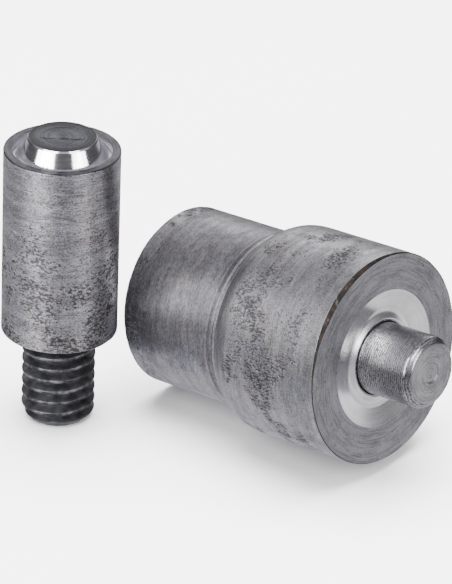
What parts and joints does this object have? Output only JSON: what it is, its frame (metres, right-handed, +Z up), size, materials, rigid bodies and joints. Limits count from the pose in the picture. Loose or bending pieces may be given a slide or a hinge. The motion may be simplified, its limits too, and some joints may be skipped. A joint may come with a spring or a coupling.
{
  "type": "rivet setter",
  "caption": "Two-piece press die set for eyelets and tubular rivets: a grooved upper punch on a threaded stud and a lower anvil with a sprung guide pin.",
  "frame": {"origin": "centre of the upper die's stud end, on the surface that both dies stand on", "axes": "+Z up along the upper die's axis; the lower die's axis lies in a plane parallel to XZ, pointing to +X and tipped up by its resting tilt"},
  "size_m": [0.0339, 0.0256, 0.025],
  "materials": {
    "anvil_steel": "turned, with leftover mill scale in its pits; polished forming channel",
    "pin_steel": "ground",
    "spring_steel": "drawn wire",
    "punch_steel": "turned, with leftover mill scale in its pits; polished forming groove",
    "blackened_steel": "black oxide"
  },
  "bodies": {
    "anvil": {"anvil_body": "anvil_steel", "spring_retainer": "blackened_steel", "pin_spring": "spring_steel"},
    "pin": {"guide_pin": "pin_steel"},
    "punch": {"punch_body": "punch_steel", "threaded_stud": "blackened_steel"}
  },
  "joints": [
    {"name": "guide_pin_slide", "type": "slide", "parent": "anvil", "child": "pin", "axis": [0.9944, 0, 0.1054], "range_m": [-0.0049, 0], "stiffness_N_per_m": 1900, "springref_m": 0.0025, "deforming": ["pin_spring"]},
    {"name": "punch_lift", "type": "slide", "parent": "anvil", "child": "punch", "axis": [0, 0, 1], "range_m": [0, 0.03]}
  ]
}
